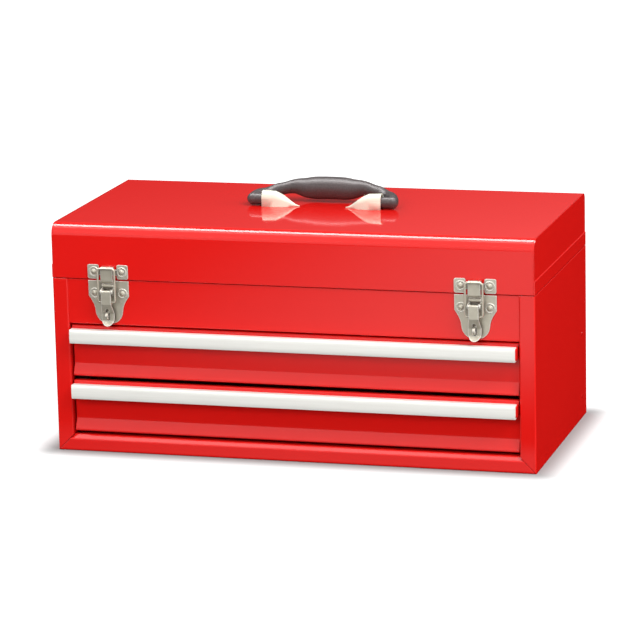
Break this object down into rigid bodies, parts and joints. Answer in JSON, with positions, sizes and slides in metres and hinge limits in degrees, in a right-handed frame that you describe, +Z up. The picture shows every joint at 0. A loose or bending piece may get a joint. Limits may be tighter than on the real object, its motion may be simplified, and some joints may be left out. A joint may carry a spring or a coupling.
{
  "type": "tool chest",
  "caption": "Portable steel tool chest with friction-slide drawers under an open till, a hinged lid with draw latches and a fold-down carrying handle.",
  "frame": {"origin": "centre of the case's underside, on the floor", "axes": "+X along the width to the right as seen from the front, -Y out of the drawer front, +Z up"},
  "size_m": [0.51, 0.2714, 0.2675],
  "materials": {
    "red_paint": "gloss red baked enamel on folded steel sheet",
    "nickel_plate": "warm bright nickel plating on pressed steel and wire",
    "hood_plate": "pale bright plating on pressed steel",
    "zinc_plate": "dull bright zinc plating",
    "pull_aluminium": "satin anodised extrusion with fine lengthwise brushing",
    "grip_plastic": "dark grey moulded plastic with a fine grain"
  },
  "bodies": {
    "case": {"left_side_panel": "red_paint", "right_side_panel": "red_paint", "bottom_panel": "red_paint", "back_panel": "red_paint", "till_front_panel": "red_paint", "till_floor": "red_paint", "upper_left_rail": "zinc_plate", "upper_right_rail": "zinc_plate", "lower_left_rail": "zinc_plate", "lower_right_rail": "zinc_plate", "hinge_lower_leaf": "zinc_plate", "hinge_pin": "zinc_plate", "left_latch_base": "nickel_plate", "right_latch_base": "nickel_plate", "latch_base_rivets": "nickel_plate", "lever_pins": "nickel_plate", "stay_body_studs": "zinc_plate"},
    "lid": {"lid_wrap": "red_paint", "lid_left_end": "red_paint", "lid_right_end": "red_paint", "hinge_upper_leaf": "zinc_plate", "left_keeper": "nickel_plate", "right_keeper": "nickel_plate", "keeper_rivets": "nickel_plate", "left_handle_hood": "hood_plate", "right_handle_hood": "hood_plate", "stay_lid_studs": "zinc_plate"},
    "handle": {"handle_grip": "grip_plastic", "handle_pivot_pins": "zinc_plate"},
    "upper_drawer": {"upper_drawer_tray": "red_paint", "upper_drawer_front": "red_paint", "upper_drawer_pull": "pull_aluminium"},
    "lower_drawer": {"lower_drawer_tray": "red_paint", "lower_drawer_front": "red_paint", "lower_drawer_pull": "pull_aluminium"},
    "left_lever": {"left_latch_lever": "nickel_plate"},
    "right_lever": {"right_latch_lever": "nickel_plate"},
    "left_bail": {"left_latch_bail": "nickel_plate"},
    "right_bail": {"right_latch_bail": "nickel_plate"},
    "left_stay": {"left_lid_stay": "zinc_plate"},
    "right_stay": {"right_lid_stay": "zinc_plate"}
  },
  "joints": [
    {"name": "lid_hinge", "type": "hinge", "parent": "case", "child": "lid", "pos_m": [0, 0.1308, 0.184], "axis": [-1, 0, 0], "range_deg": [0, 100]},
    {"name": "handle_fold", "type": "hinge", "parent": "lid", "child": "handle", "pos_m": [0, 0.0035, 0.248], "axis": [1, 0, 0], "range_deg": [0, 153]},
    {"name": "upper_drawer_slide", "type": "slide", "parent": "case", "child": "upper_drawer", "axis": [0, -1, 0], "range_m": [0, 0.165]},
    {"name": "lower_drawer_slide", "type": "slide", "parent": "case", "child": "lower_drawer", "axis": [0, -1, 0], "range_m": [0, 0.165]},
    {"name": "left_stay_swing", "type": "hinge", "parent": "lid", "child": "left_stay", "pos_m": [-0.25105, 0.10637, 0.19289], "axis": [1, 0, 0], "range_deg": [0, 50]},
    {"name": "left_lever_turn", "type": "hinge", "parent": "case", "child": "left_lever", "pos_m": [-0.194, -0.1335, 0.172], "axis": [-1, 0, 0], "range_deg": [0, 140]},
    {"name": "left_bail_swing", "type": "hinge", "parent": "left_lever", "child": "left_bail", "pos_m": [-0.194, -0.135, 0.162], "axis": [-1, 0, 0], "range_deg": [-168, 0]},
    {"name": "right_stay_swing", "type": "hinge", "parent": "lid", "child": "right_stay", "pos_m": [0.25105, 0.10637, 0.19289], "axis": [1, 0, 0], "range_deg": [0, 50]},
    {"name": "right_lever_turn", "type": "hinge", "parent": "case", "child": "right_lever", "pos_m": [0.194, -0.1335, 0.172], "axis": [-1, 0, 0], "range_deg": [0, 140]},
    {"name": "right_bail_swing", "type": "hinge", "parent": "right_lever", "child": "right_bail", "pos_m": [0.194, -0.135, 0.162], "axis": [-1, 0, 0], "range_deg": [-168, 0]}
  ],
  "couplings": [
    {"joint": "left_stay_swing", "follows": "lid_hinge", "ratio": 0.5},
    {"joint": "left_bail_swing", "follows": "left_lever_turn", "ratio": -1.2},
    {"joint": "right_stay_swing", "follows": "lid_hinge", "ratio": 0.5},
    {"joint": "right_bail_swing", "follows": "right_lever_turn", "ratio": -1.2}
  ]
}
